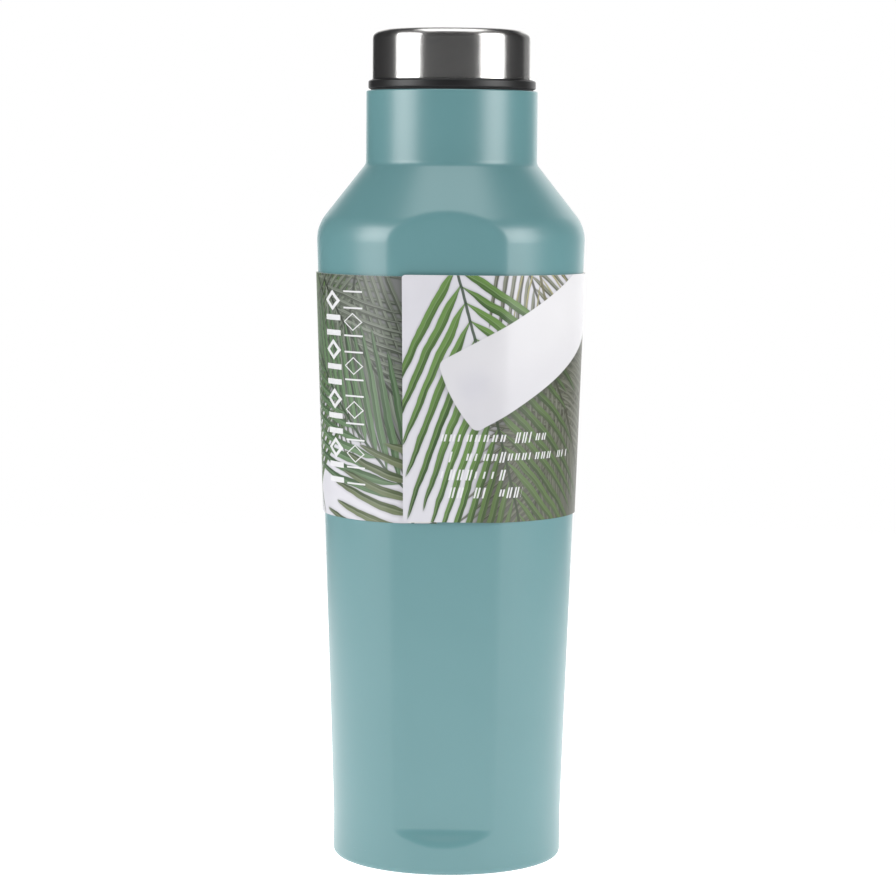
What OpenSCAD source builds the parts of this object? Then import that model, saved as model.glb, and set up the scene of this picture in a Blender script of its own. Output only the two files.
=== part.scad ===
// Double-walled vacuum bottle with three flat grips, a screw cap and a printed card sleeve.
// Millimetres, +Z up. The origin is the centre of the foot ring, on the table.
// The front flat faces -Y, and the other two face 120 degrees to each side of it.

/* [Bottle body] */
// Height of the mouth above the table
mouth_z = 216.2; // [214:0.1:219]
// Radius of the round foot
foot_r = 32.3; // [31.8:0.1:33]
// Radius where the body would meet the shoulder cone in a sharp corner
body_r = 37.75; // [37.2:0.05:38.3]
// Height of that corner
shoulder_z = 178.4; // [176:0.1:180]
// Lean of the shoulder cone from vertical
cone_lean = 38.2; // [36:0.1:41]
// Radius of the rounding from body to shoulder
shoulder_round_r = 11; // [8:0.5:13]
// Outer radius of the neck
neck_r = 24; // [23.9:0.05:24.3]
// Radius of the hollow blend from shoulder to neck
neck_blend_r = 3; // [2:0.5:4]
// Sheet thickness of the outer wall
wall = 0.5; // [0.4:0.05:0.7]

/* [Grip flats] */
// Distance from the axis to a flat at its bottom edge
flat_low_r = 29.7; // [28.9:0.1:29.8]
// Outward lean of a flat as it rises
flat_lean = 1.68; // [1.5:0.02:1.8]
// Height of a flat's bottom edge
flat_z = 11.7; // [11:0.1:13]
// Lean of the ledge that runs out from there to the foot
ledge_lean = 39; // [34:1:44]

/* [Flask] */
// Inner radius of the neck
bore_r = 21.9; // [21.8:0.05:22]
// Sheet thickness of the inner wall
liner = 0.4; // [0.35:0.05:0.5]
// Outer radius of the flask at its bottom weld
flask_low_r = 27.1; // [26.6:0.1:27.3]
// Height of the bottom weld
flask_weld_z = 15; // [14.5:0.1:16]
// Height of the flask's lowest ring
flask_z = 9.5; // [9:0.1:10]
// Thickness of the copper layer on the vacuum side
copper_t = 0.2; // [0.1:0.05:0.3]

/* [Thread] */
// Rise in one turn
pitch = 4; // [3.8:0.1:4.4]
// Length of each rib in turns
rib_turns = 1.5; // [1.2:0.1:1.6]
// Height where the neck's rib starts
rib_z = 203.2; // [202.8:0.1:203.6]
// How far the neck's rib stands in from the bore
neck_rib_h = 0.8; // [0.6:0.05:0.9]
// How far the plug's rib stands out from the plug
plug_rib_h = 1.3; // [1.2:0.05:1.35]

/* [Cap] */
// Height of the whole bottle with its cap on
bottle_h = 233; // [231.5:0.1:234]
// Outer radius of the steel cap
cap_r = 22.65; // [22.5:0.05:22.8]
// Rounding of the cap's top edge
cap_round_r = 2.3; // [1.5:0.1:2.6]
// Sheet thickness of the steel cap
cap_wall = 0.6; // [0.5:0.05:0.7]
// Outer radius of the plastic rim
rim_r = 23.45; // [23.4:0.05:23.7]
// Height of the plastic rim
rim_h = 2.4; // [2.2:0.1:2.8]
// Gap between the rim and the mouth
rim_gap = 0.5; // [0.4:0.05:0.7]
// Outer radius of the plug
plug_r = 20.3; // [20.2:0.05:20.4]
// Wall thickness of the hollow plug
plug_wall = 1.8; // [1.5:0.1:2.2]
// Height of the plug's underside
plug_z = 200.5; // [200:0.1:201]

/* [Card sleeve] */
// Height of the sleeve's lower edge
sleeve_z = 98.2; // [90:0.1:105]
// Height of the sleeve itself
sleeve_h = 67.4; // [60:0.1:70]
// Thickness of the card
card_t = 0.4; // [0.3:0.05:0.5]
// Gap between card and bottle
card_gap = 0.15; // [0.1:0.05:0.3]
// Extra gap over the two rear flats, which the card spans more roundly
card_bulge = 0.8; // [0.4:0.1:1.2]
// Distance from the middle of the front flat to the front panel's free edge
seam_x = 11.5; // [9:0.1:13]
// Width of the tongue that runs on under the front panel from there
tongue_w = 9; // [8:0.5:11]

/* [Hidden] */
$fn = 96;

taper_z = 12;                 // the body is a plain cylinder below this height
seam_z = 5;                   // weld between the shell and the base cup
body_lean = atan((body_r - foot_r) / (shoulder_z - taper_z));
neck_z = shoulder_z + (body_r - neck_r) / tan(cone_lean);
lip_round_r = 0.4;            // rounding of the mouth's outer edge
flat_angles = [-90, 30, 150];
slot = 0.01;                  // how far cutting shapes run past the faces they open

foot_round_r = 1.6;           // rounding under the foot ring
upstand_r = 28.6;             // side of the recess under the base
foot_bevel = 0.6;             // bevel between the foot ring and that recess
plate_z = 3.3;                // underside of the base plate
dimple_r = 5;                 // dimple round the evacuation hole
dimple_slope = 1.2;
dimple_h = 1.5;
evac_r = 1;                   // evacuation hole
cover_z = 1.2;                // underside of the base cover
cover_t = 0.6;
cover_gap = 0.3;              // gap round the base cover

getter_x = 15;                // the getter's place on the base plate
getter_r = 5;
getter_h = 2;
clip_r = 5.8;
clip_t = 0.3;

flask_gap = 3.2;              // outer wall to flask, square to the shoulder cone
flask_round_r = 9;
flask_corner_r = 5;           // rounding at the flask's bottom corner
flask_dome_h = 1.8;           // rise of its domed middle
flask_lean = flat_lean;
flask_cone_r = body_r - flask_gap / cos(cone_lean);  // the flask's cone at the shoulder corner's height
flask_rise = (flask_cone_r - flask_low_r - (shoulder_z - flask_weld_z) * tan(flask_lean))
    / (tan(flask_lean) + tan(cone_lean));
flask_top = [flask_cone_r - flask_rise * tan(cone_lean), shoulder_z + flask_rise];
flask_neck_r = bore_r + liner;
flask_neck_z = shoulder_z + (flask_cone_r - flask_neck_r) / tan(cone_lean);
lip_h = 1.6;                  // height of the welded lip where both walls meet
lip_slope = 1.1;
lip_bevel = 0.7;              // lead-in at the bore's upper edge
copper_gap = 0.03;
copper_top_z = flask_neck_z + 2;

rib_sink = 0.3;               // how far a rib's foot is sunk into its wall
rib_steps = 36;               // flat pieces in one turn of a rib
rib_run = 4;                  // pieces over which a rib's end rises
neck_rib_w = [1.7, 0.8];      // widths of a rib at its foot and its crest
plug_rib_w = [2.0, 0.9];

rim_z = mouth_z + rim_gap;    // underside of the rim
cap_z = rim_z + rim_h;        // lower edge of the steel cap
seal_h = 1.4;
seal_clear = 0.15;            // running clearance round the seal
seal_z = mouth_z + 0.05;
seal_seat_z = seal_z + seal_h + 0.05;
seal_seat_r = rim_r - 0.45;
core_gap = 0.3;               // glue gap between core and steel cap
core_r = cap_r - cap_wall - core_gap;
core_top_z = bottle_h - 1.8;
core_plate_t = 1.7;
glue_z = cap_z + 2;
glue_h = 4;
plug_bore_r = plug_r - plug_wall;
plug_bevel = 0.7;
cover_plate_t = 1.7;
foam_gap = 0.2;
foam_h = 10;

glue_t = 0.2;                 // glue between the sleeve's two layers
glue_margin = 1.5;            // how far the glue stays inside the overlap's edges
front_gap = card_gap + card_t + glue_t;   // flat to front panel, over the tongue
round_x = 20;                 // this far from the middle the card is past the flat on either side

// Unit vector along a line that leans out from vertical, as [radius, height]
function along(lean) = [sin(lean), cos(lean)];

// Unit vector square to that line, pointing away from the axis
function outward(lean) = [cos(lean), -sin(lean)];

// Points of the rounding at a corner between two leaning lines, with the surface moved inward by t
function bend(corner, lean_1, lean_2, r, t = 0, steps = 8) =
    let (
        s = lean_1 > lean_2 ? 1 : -1,
        run = r * tan(abs(lean_1 - lean_2) / 2),
        centre = corner - run * along(lean_1) - s * r * outward(lean_1)
    )
    [for (i = [0:steps]) centre + s * (r - s * t) * outward(lean_1 + (lean_2 - lean_1) * i / steps)];

// The sharp corner between two leaning lines, with both lines moved inward by t
function mitre(corner, lean_1, lean_2, t) =
    corner - t * (outward(lean_1) + outward(lean_2)) / (1 + outward(lean_1) * outward(lean_2));

// Half outline of the bottle's outside moved inward by t, with its two ends run on by `over`
function body_outline(t, over) = concat(
    [[0, seam_z - over], [foot_r - t, seam_z - over], mitre([foot_r, taper_z], 0, body_lean, t)],
    bend([body_r, shoulder_z], body_lean, -cone_lean, shoulder_round_r, t),
    bend([neck_r, neck_z], -cone_lean, 0, neck_blend_r, t),
    over > 0 ? [[neck_r - t, mouth_z + over]] : bend([neck_r, mouth_z], 0, -90, lip_round_r, 0, 4),
    [[0, mouth_z + over]]
);

// Everything outside one flat and its ledge, both moved inward by t, on the +X side
module flat_cutter(t) {
    corner = mitre([flat_low_r, flat_z], -ledge_lean, flat_lean, t);
    foot = corner - 12 * along(-ledge_lean);
    head = corner + 190 * along(flat_lean);
    rotate([90, 0, 0])
        linear_extrude(90, center = true)
            polygon([foot, corner, head, head + [30, 0], foot + [30, 0]]);
}

// The bottle's outside as one solid, moved inward by t; front and side move single flats outward again
module body_solid(t, over = 0, front = 0, side = 0) {
    difference() {
        rotate_extrude() polygon(body_outline(t, over));
        for (a = flat_angles) rotate([0, 0, a]) flat_cutter(t - (a == flat_angles[0] ? front : side));
    }
}

// A round tube between two heights
module ring(r_in, r_out, z, h) {
    translate([0, 0, z]) difference() {
        cylinder(r = r_out, h = h);
        translate([0, 0, -slot]) cylinder(r = r_in, h = h + 2 * slot);
    }
}

// One turn after another of a screw rib: a trapezoid swept up a helix, thinning out at both ends
module screw_rib(r_foot, r_crest, widths, z) {
    steps = round(rib_turns * rib_steps);
    rows = [for (i = [0:steps])
        let (
            a = 360 * i / rib_steps,
            grown = min(1, (1 + min(i, steps - i)) / (1 + rib_run)),
            r = r_foot + (r_crest - r_foot) * grown,
            h = z + pitch * i / rib_steps
        )
        for (p = [[r_foot, -widths[0]], [r, -widths[1]], [r, widths[1]], [r_foot, widths[0]]])
            [p[0] * cos(a), p[0] * sin(a), h + p[1] / 2]];
    last = 4 * steps;
    sides = [for (i = [0:steps - 1]) for (j = [0:3])
        let (a = 4 * i + j, b = 4 * i + (j + 1) % 4)
        for (f = [[a, b, b + 4], [a, b + 4, a + 4]]) f];
    ends = [[2, 1, 0], [3, 2, 0], [last, last + 1, last + 2], [last, last + 2, last + 3]];
    faces = concat(sides, ends);
    outward_faces = r_crest > r_foot ? faces : [for (f = faces) [f[2], f[1], f[0]]];
    polyhedron(points = rows, faces = outward_faces);
}

// Outer wall: a drawn steel tube with its neck, shoulder and three pressed flats
module outer_shell() {
    color("#7fa8aa") difference() {
        body_solid(0);
        body_solid(wall, over = 1);
    }
}

// Base cup welded under the shell: foot ring, recess and a dimple with the evacuation hole
module outer_base() {
    foot_arc = [for (i = [0:6]) [
        foot_r - foot_round_r * (1 - cos(15 * i)),
        foot_round_r * (1 - sin(15 * i))
    ]];
    inner_arc = [for (i = [6:-1:0]) [
        foot_r - foot_round_r + (foot_round_r - wall) * cos(15 * i),
        foot_round_r - (foot_round_r - wall) * sin(15 * i)
    ]];
    color("#7fa8aa") rotate_extrude() polygon(concat(
        [[foot_r, seam_z]], foot_arc,
        [
            [upstand_r + foot_bevel, 0], [upstand_r, foot_bevel], [upstand_r, plate_z],
            [dimple_r, plate_z], [dimple_r - dimple_slope, plate_z + dimple_h],
            [evac_r, plate_z + dimple_h], [evac_r, plate_z + dimple_h + wall],
            [dimple_r - dimple_slope + wall, plate_z + dimple_h + wall],
            [dimple_r + wall, plate_z + wall], [upstand_r + wall, plate_z + wall],
            [upstand_r + wall, wall + foot_bevel / 2], [upstand_r + wall + foot_bevel / 2, wall]
        ],
        inner_arc, [[foot_r - wall, seam_z]]
    ));
}

// Dished disc glued into the recess under the base
module base_cover() {
    r = upstand_r - cover_gap;
    color("#7fa8aa") difference() {
        translate([0, 0, cover_z]) cylinder(r = r, h = plate_z - cover_z);
        translate([0, 0, cover_z + cover_t]) cylinder(r = r - cover_t, h = plate_z);
    }
}

// Brazed bead that closes the evacuation hole from below
module evac_bead() {
    bead_h = dimple_h - 0.5;
    color("#8c8f90") union() {
        translate([0, 0, plate_z + dimple_h - bead_h]) cylinder(r1 = 1.8, r2 = 2.6, h = bead_h);
        translate([0, 0, plate_z + dimple_h - slot]) cylinder(r = evac_r, h = wall + slot);
    }
}

// Getter pill that keeps the vacuum
module getter_pill() {
    color("#5a5c5e") translate([getter_x, 0, plate_z + wall + clip_t]) cylinder(r = getter_r, h = getter_h);
}

// Sheet tray welded to the base plate, with a rim round the pill and three lugs over it
module getter_clip() {
    z = plate_z + wall;
    lug_w = 2;
    color("#b4b7b9") translate([getter_x, 0, z]) {
        cylinder(r = clip_r, h = clip_t);
        ring(clip_r - clip_t, clip_r, clip_t - slot, 1.2);
        for (a = [60, 180, 300]) rotate([0, 0, a]) {
            translate([clip_r - clip_t, -lug_w / 2, clip_t]) cube([clip_t, lug_w, getter_h + clip_t]);
            translate([getter_r - 1, -lug_w / 2, clip_t + getter_h])
                cube([clip_r - getter_r + 1, lug_w, clip_t]);
        }
    }
}

// Half outline of the flask's side moved inward by t, from its bottom weld up to height top
function flask_outline(t, top) = concat(
    [[flask_low_r - t, flask_weld_z]],
    bend(flask_top, flask_lean, -cone_lean, flask_round_r, t),
    bend([flask_neck_r, flask_neck_z], -cone_lean, 0, neck_blend_r, t),
    [[flask_neck_r - t, top]]
);

function reversed(list) = [for (i = [len(list) - 1:-1:0]) list[i]];

// Inner wall: steel tube with the neck's screw rib rolled in and the lip welded to the outer wall
module flask_wall() {
    lip = [
        [flask_neck_r, mouth_z - lip_h - lip_slope], [neck_r - wall, mouth_z - lip_h],
        [neck_r - wall, mouth_z], [bore_r + lip_bevel, mouth_z], [bore_r, mouth_z - 1.5 * lip_bevel]
    ];
    color("#c9cccd") union() {
        rotate_extrude() polygon(concat(
            flask_outline(0, mouth_z - lip_h - 2 * lip_slope), lip,
            reversed(flask_outline(liner, mouth_z - 2 * lip_h - lip_slope))
        ));
        screw_rib(bore_r + rib_sink, bore_r - neck_rib_h, neck_rib_w, rib_z);
    }
}

// Flask bottom: a cup with a domed middle, welded under the wall
module flask_bottom() {
    lean_r = flask_low_r - flask_corner_r;
    corner = [for (i = [0:6]) [
        lean_r + flask_corner_r * cos(15 * i),
        flask_z + flask_corner_r * (1 - sin(15 * i))
    ]];
    inner_corner = [for (i = [6:-1:0]) [
        lean_r + (flask_corner_r - liner) * cos(15 * i),
        flask_z + flask_corner_r - (flask_corner_r - liner) * sin(15 * i)
    ]];
    dome = [for (i = [7:-1:0]) [lean_r * i / 8, flask_z + flask_dome_h * (1 - pow(i / 8, 2))]];
    color("#c9cccd") rotate_extrude() polygon(concat(
        [[flask_low_r, flask_weld_z]], corner, dome,
        [for (p = reversed(dome)) p + [0, liner]], inner_corner, [[flask_low_r - liner, flask_weld_z]]
    ));
}

// Copper layer on the vacuum side of the flask wall
module copper_layer() {
    color("#b87349") rotate_extrude() polygon(concat(
        flask_outline(-copper_gap - copper_t, copper_top_z),
        reversed(flask_outline(-copper_gap, copper_top_z))
    ));
}

// The card between two offsets from the bottle, cut to the sleeve's height
module card_layer(offset_in, offset_out, front, side) {
    intersection() {
        difference() {
            body_solid(-offset_out, front = front, side = side);
            body_solid(-offset_in, front = front, side = side);
        }
        translate([0, 0, sleeve_z]) cylinder(r = body_r + 5, h = sleeve_h);
    }
}

// A block over the front flat from x_1 to x_2, reaching past the sleeve's two edges by `over`
module front_block(x_1, x_2, over = 0) {
    translate([x_1, -body_r - 5, sleeve_z - over]) cube([x_2 - x_1, body_r, sleeve_h + 2 * over]);
}

// Printed card wrap: it starts with a tongue on the front flat, goes once round the bottle clockwise
// from above, and ends in the front panel, which lies over the tongue
module sleeve_card() {
    color("#dcdae4") union() {
        difference() {
            card_layer(card_gap, card_gap + card_t, front_gap - card_gap, card_bulge);
            front_block(1 - round_x, -seam_x, 1);
        }
        intersection() {
            card_layer(card_gap, card_gap + card_t, 0, card_bulge);
            front_block(-round_x, tongue_w - seam_x);
        }
    }
}

// Glue strip between the tongue and the front panel
module sleeve_glue() {
    color("#e6e2c8") intersection() {
        card_layer(card_gap + card_t, front_gap, 0, card_bulge);
        front_block(glue_margin - seam_x, tongue_w - seam_x - glue_margin);
    }
}

// Silicone ring on the plug, under the rim
module neck_seal() {
    color("#3a3a3c") ring(plug_r + seal_clear, seal_seat_r - seal_clear, seal_z, seal_h);
}

// Plastic core of the cap: the dark rim, the skirt inside the steel and the hollow threaded plug
module cap_core() {
    color("#2b2b2b") union() {
        rotate_extrude() polygon([
            [plug_bore_r, plug_z], [plug_r - plug_bevel, plug_z], [plug_r, plug_z + plug_bevel],
            [plug_r, seal_seat_z], [seal_seat_r, seal_seat_z], [seal_seat_r, rim_z], [rim_r, rim_z],
            [rim_r, cap_z], [core_r, cap_z], [core_r, core_top_z], [0, core_top_z],
            [0, core_top_z - core_plate_t], [plug_bore_r, core_top_z - core_plate_t]
        ]);
        screw_rib(plug_r - rib_sink, plug_r + plug_rib_h, plug_rib_w, rib_z + pitch / 2);
    }
}

// Brushed steel cup over the core
module cap_shell() {
    color("#8e8d8b") rotate_extrude() polygon(concat(
        [[cap_r, cap_z]], bend([cap_r, bottle_h], 0, -90, cap_round_r),
        [[0, bottle_h], [0, bottle_h - cap_wall]],
        reversed(bend([cap_r, bottle_h], 0, -90, cap_round_r, cap_wall)),
        [[cap_r - cap_wall, cap_z]]
    ));
}

// Bead of glue that holds the steel cup on the core
module cap_glue() {
    color("#e8e4d0") ring(core_r, cap_r - cap_wall, glue_z, glue_h);
}

// Insulating foam disc in the bottom of the plug
module cap_foam() {
    color("#f1efe6") translate([0, 0, plug_z + cover_plate_t + foam_gap])
        cylinder(r = plug_bore_r - foam_gap, h = foam_h);
}

// Disc welded into the underside of the plug
module plug_cover() {
    color("#2b2b2b") translate([0, 0, plug_z]) cylinder(r = plug_bore_r, h = cover_plate_t);
}

outer_shell();
outer_base();
base_cover();
evac_bead();
getter_pill();
getter_clip();
flask_wall();
flask_bottom();
copper_layer();
sleeve_card();
sleeve_glue();
neck_seal();
cap_core();
cap_shell();
cap_glue();
cap_foam();
plug_cover();
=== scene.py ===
# %% [markdown]
# # A vacuum bottle with three flat grips
# This notebook dresses a packed bottle: painted steel body, brushed cap, black plug, silicone ring and a
# printed card sleeve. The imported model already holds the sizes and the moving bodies, so every piece here
# is computed around it and rides on one of its bodies. Lengths are millimetres until a mesh is made.

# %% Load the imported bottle
import math

import bmesh
import bpy
import numpy as np
from mathutils import Matrix, Vector


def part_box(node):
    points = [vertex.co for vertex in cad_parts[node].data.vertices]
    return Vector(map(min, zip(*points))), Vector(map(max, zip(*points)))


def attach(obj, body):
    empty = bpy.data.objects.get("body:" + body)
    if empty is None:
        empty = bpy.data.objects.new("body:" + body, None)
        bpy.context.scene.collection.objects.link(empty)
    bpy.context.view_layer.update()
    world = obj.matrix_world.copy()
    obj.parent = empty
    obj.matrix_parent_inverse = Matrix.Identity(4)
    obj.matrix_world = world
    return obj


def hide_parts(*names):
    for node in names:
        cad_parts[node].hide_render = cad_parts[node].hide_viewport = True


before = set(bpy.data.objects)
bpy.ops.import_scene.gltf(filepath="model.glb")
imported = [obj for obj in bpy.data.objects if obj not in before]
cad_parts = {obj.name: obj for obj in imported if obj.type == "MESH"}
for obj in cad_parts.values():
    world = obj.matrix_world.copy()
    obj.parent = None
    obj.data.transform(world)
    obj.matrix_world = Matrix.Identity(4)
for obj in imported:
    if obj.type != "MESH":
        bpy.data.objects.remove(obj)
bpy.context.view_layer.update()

MM = 0.001


def heights(node):
    """Lowest and highest point of a node, in millimetres."""
    low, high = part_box(node)
    return low.z / MM, high.z / MM


def radius(node):
    """Largest reach of a node along X, in millimetres."""
    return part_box(node)[1].x / MM


SEAM_Z, MOUTH_Z = heights("outer_shell")
FOOT_R = radius("outer_base")
SLEEVE_LOW, SLEEVE_HIGH = heights("sleeve_card")
CAP_R, RIM_R = radius("cap_shell"), radius("cap_core")
CAP_LOW, CAP_HIGH = heights("cap_shell")
print(f"mouth {MOUTH_Z:.1f}, foot radius {FOOT_R:.1f}, sleeve {SLEEVE_LOW:.1f} to {SLEEVE_HIGH:.1f} mm")

# %% [markdown]
# ## Outlines
# A pressed or moulded part is mostly straight stretches joined by small radii. A tiny radius on every
# corner catches a line of light, which a perfectly sharp corner never does. The radius could come from a
# Bevel modifier afterwards, but in an outline it costs one arc, and its size is known exactly.

# %% Rounded outlines
SUPPORT = 0.25  # a straight stretch keeps a point this close to each arc, so that its shading stays flat


def unit(v):
    """The vector divided by its own length."""
    return v / np.linalg.norm(v)


def rounded(corners, radii, steps=6, closed=False):
    """An outline through the corners (radius, height), each replaced by an arc of its own radius.

    The arc touches both sides at radius * tan(turn / 2) from the corner. Its points are the start radius
    turned about the arc's centre in equal steps.
    """
    corners = np.array(corners, float)
    count = len(corners)
    radii = np.broadcast_to(np.array(radii, float), count)
    ahead = np.array([unit(corners[(i + 1) % count] - corners[i]) for i in range(count)])
    behind = np.roll(ahead, 1, axis=0)
    turns = np.arctan2(behind[:, 0] * ahead[:, 1] - behind[:, 1] * ahead[:, 0], (behind * ahead).sum(1))
    runs = radii * np.tan(np.abs(turns) / 2)
    lengths = np.linalg.norm(np.roll(corners, -1, axis=0) - corners, axis=1)
    spare = lengths - runs - np.roll(runs, -1)
    out = []
    for i, corner in enumerate(corners):
        if radii[i] == 0 or not closed and i in (0, count - 1):
            out.append(corner[None])
            continue
        a, b = behind[i], ahead[i]
        start = corner - runs[i] * a
        centre = start + math.copysign(radii[i], turns[i]) * np.array([-a[1], a[0]])
        angle = np.linspace(0, turns[i], steps + 1)[:, None]
        arm, side = start - centre, np.array([-(start - centre)[1], (start - centre)[0]])
        arc = centre + arm * np.cos(angle) + side * np.sin(angle)
        before, after = (min(SUPPORT, gap / 3) for gap in (spare[i - 1], spare[i]))
        out.append(np.vstack([[arc[0] - before * a], arc, [arc[-1] + after * b]]))
    return np.vstack(out)


def arc_lengths(points):
    """Distance along a line of points, starting at 0."""
    return np.concatenate([[0], np.cumsum(np.linalg.norm(np.diff(points, axis=0), axis=1))])


# %% [markdown]
# ## Grids into meshes
# Every new surface is a grid of points: rows follow an outline and columns go round it. The grid becomes
# quads whose corners run anticlockwise seen from outside, so the faces point outwards from the start. The
# UV map is in millimetres, so that brushing and print keep their real scale.

# %% Grid meshes
SHARP = math.radians(50)  # faces that meet at more than this keep a crisp edge
SAME_PLACE = 2e-7  # metres; points closer than this become one


def grid_mesh(name, grid, materials, uv, closed_rows=False, closed_columns=True, kinds=None):
    """An object from a grid of points (row, column, xyz) in millimetres.

    uv is (u of each column, v of each row), with one value more where the grid closes on itself.
    """
    rows, columns = grid.shape[:2]
    r = np.arange(rows if closed_rows else rows - 1)
    c = np.arange(columns if closed_columns else columns - 1)
    index = np.arange(rows * columns).reshape(rows, columns)
    here, above = index[r], index[(r + 1) % rows]
    right = (c + 1) % columns
    quads = np.stack([here[:, c], here[:, right], above[:, right], above[:, c]], -1).reshape(-1, 4)
    mesh = bpy.data.meshes.new(name)
    mesh.from_pydata((grid.reshape(-1, 3) * MM).tolist(), [], quads.tolist())
    u, v = (np.asarray(line, float) for line in uv)
    corner_u = np.stack([u[c], u[c + 1], u[c + 1], u[c]], -1)[None].repeat(len(r), 0)
    corner_v = np.stack([v[r], v[r], v[r + 1], v[r + 1]], -1)[:, None].repeat(len(c), 1)
    mesh.uv_layers.new(name="wrap").data.foreach_set("uv", np.stack([corner_u, corner_v], -1).ravel())
    for material in materials:
        mesh.materials.append(material)
    if kinds is not None:
        mesh.polygons.foreach_set("material_index", kinds.astype(np.int32).ravel())
    mesh.polygons.foreach_set("use_smooth", np.ones(len(mesh.polygons), bool))
    merge_doubles(mesh)
    mesh.set_sharp_from_angle(angle=SHARP)
    piece = bpy.data.objects.new(name, mesh)
    bpy.context.scene.collection.objects.link(piece)
    print(f"{name}: {len(mesh.vertices)} points, {len(mesh.polygons)} faces")
    return piece


def merge_doubles(mesh):
    """Merges points that share a place, which closes the poles where a row shrinks to nothing."""
    work = bmesh.new()
    work.from_mesh(mesh)
    bmesh.ops.remove_doubles(work, verts=work.verts, dist=SAME_PLACE)
    work.to_mesh(mesh)
    work.free()


def around(r, angles, z):
    """Points (r cos a, r sin a, z); r and z are columns, one value for each row."""
    r, z = np.asarray(r), np.asarray(z)
    return np.stack([r * np.cos(angles), r * np.sin(angles), z + 0 * angles * r], -1)


def lathe(name, outline, material, closed=True, columns=192):
    """A turned piece: its outline carried round the axis in equal steps."""
    angles = np.linspace(0, 2 * np.pi, columns, endpoint=False)
    v = arc_lengths(np.vstack([outline, outline[:1]]))
    u = np.arange(columns + 1) / columns * 2 * np.pi * outline[:, 0].max()
    grid = around(outline[:, :1], angles, outline[:, 1:])
    return grid_mesh(name, grid, [material], (u, v), closed_rows=closed)


def join(first, second):
    """Adds the second piece's shell to the first piece."""
    work = bmesh.new()
    work.from_mesh(first.data)
    work.from_mesh(second.data)
    work.to_mesh(first.data)
    work.free()
    bpy.data.objects.remove(second)
    return first


def finish_piece(piece, body, slot, *nodes):
    """Rides on its body and hides the nodes that it stands for; slot is not used."""
    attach(piece, body)
    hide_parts(*nodes)


# %% [markdown]
# ## Numbers that flow through a material
# A pattern in a material is arithmetic on coordinates. Wiring dozens of Math nodes by hand hides the
# formula, so a small class stands for one output socket and adds a Math node for each operator. A line
# such as `edge - abs(x)` then reads like the formula that it is.

# %% Wires


class Wire:
    """One number in a node tree; arithmetic on it adds Math nodes."""

    def __init__(self, tree, socket):
        self.tree, self.socket = tree, socket

    def node(self, kind, *values, **settings):
        """Adds a node of a kind, fills its inputs in order and returns its first output."""
        node = self.tree.nodes.new(kind)
        for name, value in settings.items():
            setattr(node, name, value)
        plug(self.tree, node.inputs, values)
        return Wire(self.tree, node.outputs[0])

    def math(self, operation, *values, **settings):
        return self.node("ShaderNodeMath", *values, operation=operation, **settings)

    def __add__(self, other):
        return self.math("ADD", self, other)

    def __sub__(self, other):
        return self.math("SUBTRACT", self, other)

    def __rsub__(self, other):
        return self.math("SUBTRACT", other, self)

    def __mul__(self, other):
        return self.math("MULTIPLY", self, other)

    def __truediv__(self, other):
        return self.math("DIVIDE", self, other)

    def __abs__(self):
        return self.math("ABSOLUTE", self)

    __radd__, __rmul__ = __add__, __mul__

    def floor(self):
        return self.math("FLOOR", self)

    def root(self):
        return self.math("SQRT", self)

    def most(self, other):
        return self.math("MAXIMUM", self, other)

    def above(self, other):
        return self.math("GREATER_THAN", self, other)

    def step(self, low, high):
        """0 below low, 1 above high, with a smooth rise between."""
        kind = {"interpolation_type": "SMOOTHSTEP", "clamp": False}
        return self.node("ShaderNodeMapRange", self, low, high, **kind)

    def chance(self):
        """A random number from 0 to 1 that is the same for the same input."""
        node = self.tree.nodes.new("ShaderNodeTexWhiteNoise")
        node.noise_dimensions = "1D"
        plug(self.tree, [node.inputs["W"]], [self])
        return Wire(self.tree, node.outputs["Value"])


# %% Sockets and new materials


def plug(tree, sockets, values):
    """Links or sets sockets from wires, sockets, numbers and colours."""
    for socket, value in zip(sockets, values):
        if isinstance(value, Wire):
            tree.links.new(value.socket, socket)
        elif isinstance(value, bpy.types.NodeSocket):
            tree.links.new(value, socket)
        elif np.ndim(value) and len(value) == 3 and len(socket.default_value) == 4:
            socket.default_value = (*value, 1)
        else:
            socket.default_value = value


def new_material(name, **values):
    """A material with one Principled shader; values set its sockets, with _ for a space."""
    material = bpy.data.materials.new(name)
    material.use_nodes = True
    shader = material.node_tree.nodes["Principled BSDF"]
    for socket, value in values.items():
        shader.inputs[socket.replace("_", " ")].default_value = value
    return material, material.node_tree, shader


# %% Coordinates, noise, colour and relief


def coordinates(tree, source="Object"):
    """The chosen coordinates as wires x, y and z, with their vector socket."""
    place = tree.nodes.new("ShaderNodeTexCoord").outputs[source]
    split = tree.nodes.new("ShaderNodeSeparateXYZ")
    tree.links.new(place, split.inputs[0])
    return [Wire(tree, socket) for socket in split.outputs], place


def vector(tree, *wires):
    """Wires joined into one vector socket."""
    node = tree.nodes.new("ShaderNodeCombineXYZ")
    plug(tree, node.inputs, wires)
    return node.outputs[0]


def noise(tree, place, scale, detail=2.0, roughness=0.5):
    """Smooth noise around 0.5."""
    node = tree.nodes.new("ShaderNodeTexNoise")
    names = ("Vector", "Scale", "Detail", "Roughness")
    plug(tree, [node.inputs[n] for n in names], (place, scale, detail, roughness))
    return Wire(tree, node.outputs[0])


def mix(tree, share, a, b, blend="MIX"):
    """The colour a, turned into b by share; each is a socket or a plain colour."""
    node = tree.nodes.new("ShaderNodeMix")
    node.data_type, node.blend_type = "RGBA", blend
    plug(tree, (node.inputs[0], node.inputs[6], node.inputs[7]), (share, a, b))
    return node.outputs[2]


def bump(tree, shader, height, relief, strength=0.5):
    """Tilts the surface by a height wire; relief is in metres."""
    node = tree.nodes.new("ShaderNodeBump")
    names = ("Strength", "Distance", "Height")
    plug(tree, [node.inputs[n] for n in names], (strength, relief, height))
    tree.links.new(node.outputs[0], shader.inputs["Normal"])


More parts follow.
